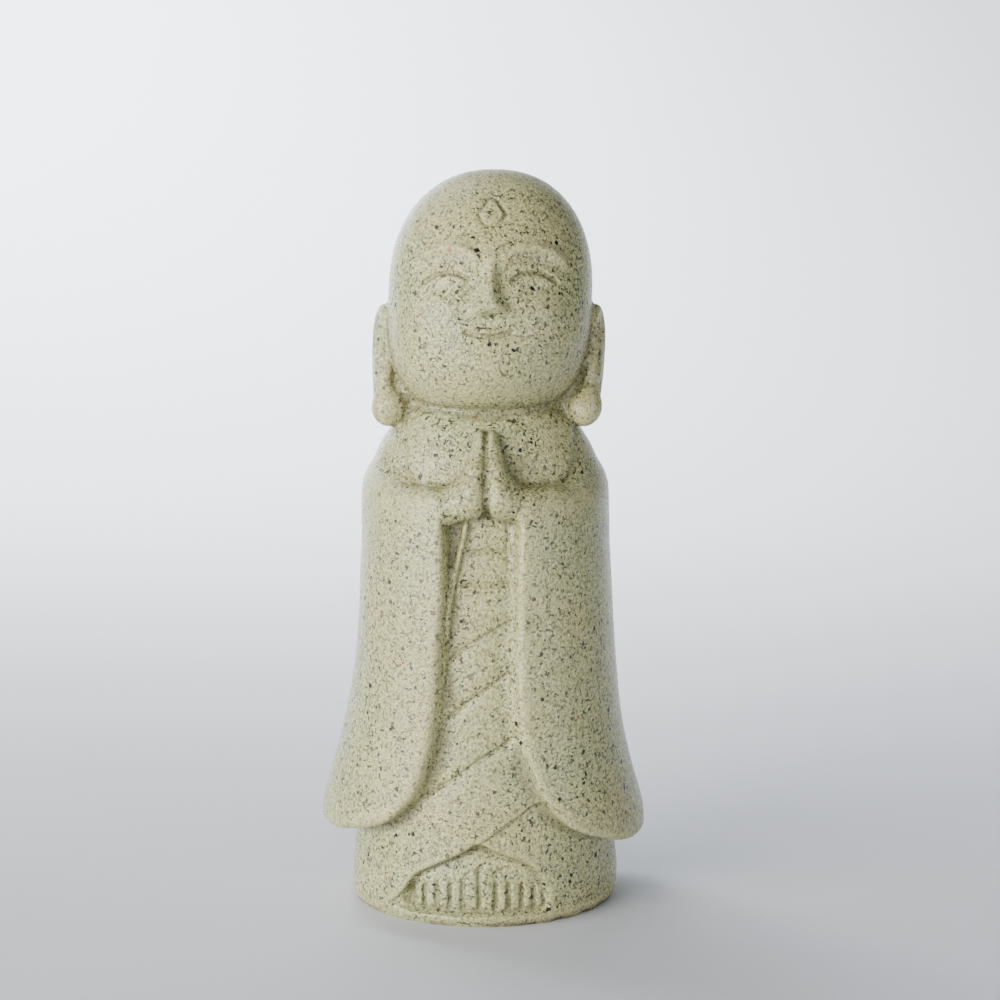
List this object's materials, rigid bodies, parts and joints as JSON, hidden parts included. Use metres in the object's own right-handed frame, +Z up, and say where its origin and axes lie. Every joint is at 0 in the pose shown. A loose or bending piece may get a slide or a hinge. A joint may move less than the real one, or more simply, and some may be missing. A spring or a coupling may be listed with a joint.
{
  "type": "standing child monk statue",
  "caption": "Small standing child monk with hands pressed together in prayer, closed eyes and long hanging sleeves, cast in one piece in pale speckled stone.",
  "frame": {"origin": "on the flat underside, on the figure's upright middle line", "axes": "+Z up; the figure looks along -Y; +X is to the right of a viewer in front"},
  "size_m": [0.0984, 0.0763, 0.22],
  "materials": {
    "cast_stone": "satin"
  },
  "bodies": {
    "root": {"monk_statue": "cast_stone"}
  },
  "joints": []
}
